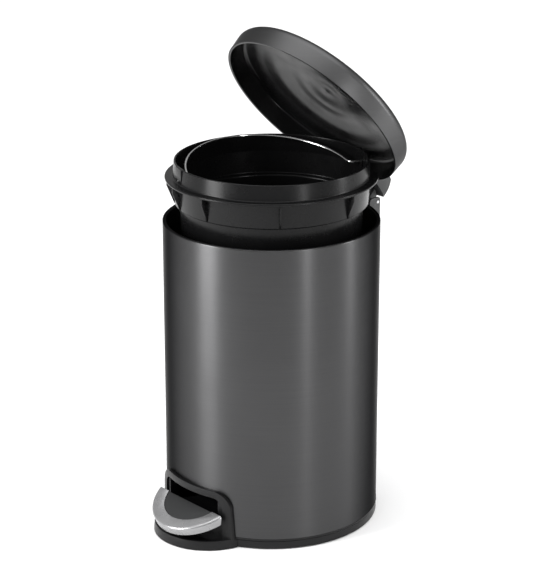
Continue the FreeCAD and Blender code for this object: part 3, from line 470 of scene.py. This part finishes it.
def make_bucket():
    bowl = lathe("bucket_shell", fillet([
        (0, 107), (96, 107, 8), (105, 380, 2.5), (110.6, 380, 1.4), (112.8, 409, 0.8), (121.9, 409, 0.9),
        (121.9, 411.8, 1.2), (112.75, 411.8, 1.5), (111.2, 430, 1.1), (109.0, 430, 1.0), (110.6, 409, 6),
        (108.4, 382.2, 1.5), (102.8, 382.2, 2.5), (93.8, 109.2, 5.8), (0, 109.2)]))
    relief_ring = lathe("relief_ring", [(113.3, 370), (130, 370), (130, 412.2), (113.3, 412.2)])
    corner = prism("relief_corner", [(-120, 95), (120, 95), (120, 140), (-120, 140)], "Z", 360, 420)
    corner.data.transform(Matrix.Rotation(-BUCKET_TURN, 4, "Z"))
    carve(relief_ring, corner, operation="INTERSECT")
    carve(bowl, relief_ring)
    carve(bowl, rod("pivot_hole", (-125, 0, PIVOT_HEIGHT), (125, 0, PIVOT_HEIGHT), PIVOT_HOLE_RADIUS))
    fins = [fin(math.radians(28 + 45 * index)) for index in range(1, 7)]
    fins += [fin(math.radians(180)), fin(math.radians(343), 117.8)]
    tabs = []
    for turn in (0, math.pi):
        outline = fillet([(-9, 410.5), (9, 410.5), (9, 430.3, 1.2), (-9, 430.3, 1.2)])
        tab = prism("tab", outline, "X", 108, 114)
        limit = lathe("tab_limit", fillet([(109.2, 405), (112.9, 405), (112.9, 440, 0.1), (109.2, 440)]))
        carve(tab, limit, operation="INTERSECT")
        round_edges(tab, 0.5, 50)
        carve(tab, rod("pivot_hole", (100, 0, PIVOT_HEIGHT), (125, 0, PIVOT_HEIGHT), PIVOT_HOLE_RADIUS))
        tab.data.transform(Matrix.Rotation(turn, 4, "Z"))
        tabs.append(tab)
    bucket = join("bucket_shell", bowl, *fins, *tabs)
    bucket.data.transform(Matrix.Rotation(BUCKET_TURN, 4, "Z"))
    dress(bucket, BUCKET_PLASTIC, "bucket", "inner_bucket")


def make_bail():
    """The bail's wire follows half an ellipse and turns out through the pivot holes."""
    angles = [math.pi * step / 96 for step in range(97)]
    arch = [Vector((BAIL_HALF_WIDTH * math.cos(angle), BAIL_REACH * math.sin(angle), 0)) for angle in angles]
    points = [Vector((113.6, 0, 0)), Vector((104, 0, 0)), Vector((99, 0.6, 0))]
    points += [point for point in arch if point.y > 5]
    points += [Vector((-99, 0.6, 0)), Vector((-104, 0, 0)), Vector((-113.6, 0, 0))]
    turn = Matrix.Rotation(BUCKET_TURN, 4, "Z") @ Matrix.Rotation(BAIL_TILT, 4, "X")
    lie = Matrix.Translation((0, 0, PIVOT_HEIGHT)) @ turn
    curve = bpy.data.curves.new("bail_wire", "CURVE")
    curve.dimensions = "3D"
    curve.bevel_depth = BAIL_WIRE_RADIUS * MM
    curve.bevel_resolution = 8
    curve.use_fill_caps = True
    curve.resolution_u = 4
    spline = curve.splines.new("NURBS")
    spline.points.add(len(points) - 1)
    for slot, point in zip(spline.points, points):
        slot.co = (*((lie @ point) * MM), 1)
    spline.order_u = 3
    spline.use_endpoint_u = True
    holder = bpy.data.objects.new("bail_path", curve)
    bpy.context.scene.collection.objects.link(holder)
    graph = bpy.context.evaluated_depsgraph_get()
    mesh = bpy.data.meshes.new_from_object(holder.evaluated_get(graph))
    bpy.data.objects.remove(holder)
    mesh.polygons.foreach_set("use_smooth", [True] * len(mesh.polygons))
    bail = bpy.data.objects.new("bail_wire", mesh)
    bpy.context.scene.collection.objects.link(bail)
    dress(bail, BRIGHT_WIRE, "bail", "bail_handle")


# ---------- the CAD nodes that stay ----------

KEPT = {
    "rubber_ring": FOOT_RUBBER,
    "pedal_lever": BLACK_PLASTIC,
    "axle_bracket": ZINC_STEEL,
    "pedal_axle": ZINC_STEEL,
    "base_screws": ZINC_STEEL,
    "housing_screws": ZINC_STEEL,
    "damper_cylinder": BLACK_PLASTIC,
    "damper_plunger": GREY_PLASTIC,
    "push_rod": ZINC_STEEL,
    "rod_clips": ZINC_STEEL,
    "rod_guide": BLACK_PLASTIC,
    "rear_screws": ZINC_STEEL,
    "hinge_pin": ZINC_STEEL,
    "lid_rivets": ZINC_STEEL,
}


def dress_kept():
    for name, finish in KEPT.items():
        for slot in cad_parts[name].material_slots:
            slot.material = finish


# ---------- room, lights and camera ----------

def make_floor():
    data = bmesh.new()
    bmesh.ops.create_grid(data, x_segments=1, y_segments=1, size=14)
    floor = to_object("floor", data)
    pale = material("floor_paper", (0.9, 0.9, 0.9), 0.0, 0.9)
    tint(pale, noise(pale, 2.0, 4.0), (0.89, 0.89, 0.89), (0.91, 0.91, 0.91))
    floor.data.materials.append(pale)


def outward(azimuth, elevation):
    """The direction from the object to a place seen at this azimuth and elevation."""
    return Vector((math.sin(azimuth) * math.cos(elevation), -math.cos(azimuth) * math.cos(elevation),
                   math.sin(elevation)))


def softbox(name, azimuth, distance, width, power):
    """An upright area light that looks at the object from this many degrees round."""
    direction = outward(math.radians(azimuth), math.radians(LIGHT_ELEVATION))
    light = bpy.data.lights.new(name, "AREA")
    light.shape = "RECTANGLE"
    light.size = width
    light.size_y = SOFTBOX_HEIGHT
    light.energy = power
    lamp = bpy.data.objects.new(name, light)
    lamp.location = SOFTBOX_TARGET + direction * distance
    lamp.rotation_mode = "QUATERNION"
    lamp.rotation_quaternion = (SOFTBOX_TARGET - lamp.location).to_track_quat("-Z", "Y")
    bpy.context.scene.collection.objects.link(lamp)


def make_room():
    world = bpy.data.worlds.new("studio")
    bpy.context.scene.world = world
    world.use_nodes = True
    background = world.node_tree.nodes["Background"]
    background.inputs["Color"].default_value = (1, 1, 1, 1)
    background.inputs["Strength"].default_value = 0.4
    softbox("key_left", LIGHT_AZIMUTH - 66, 2.2, 0.75, 60)
    softbox("fill_front", LIGHT_AZIMUTH + 37, 2.4, 0.22, 16)
    softbox("fill_right", LIGHT_AZIMUTH + 88, 2.4, 0.30, 23)
    sun = bpy.data.lights.new("ceiling", "SUN")
    sun.energy = 2.5
    sun.angle = math.radians(70)
    lamp = bpy.data.objects.new("ceiling", sun)
    bpy.context.scene.collection.objects.link(lamp)
    make_floor()


def make_camera():
    camera = bpy.data.cameras.new("camera")
    camera.sensor_width = SENSOR_WIDTH
    camera.lens = CAMERA_LENS
    view = bpy.data.objects.new("camera", camera)
    view.location = CAMERA_TARGET + outward(CAMERA_AZIMUTH, CAMERA_ELEVATION) * CAMERA_DISTANCE
    view.rotation_euler = (math.pi / 2 - CAMERA_PITCH, 0, CAMERA_AZIMUTH)
    bpy.context.scene.collection.objects.link(view)
    bpy.context.scene.camera = view
    bpy.context.scene.view_settings.view_transform = "Standard"


make_body()
make_pedal()
make_rear()
make_lid()
make_bucket()
make_bail()
dress_kept()
make_room()
make_camera()
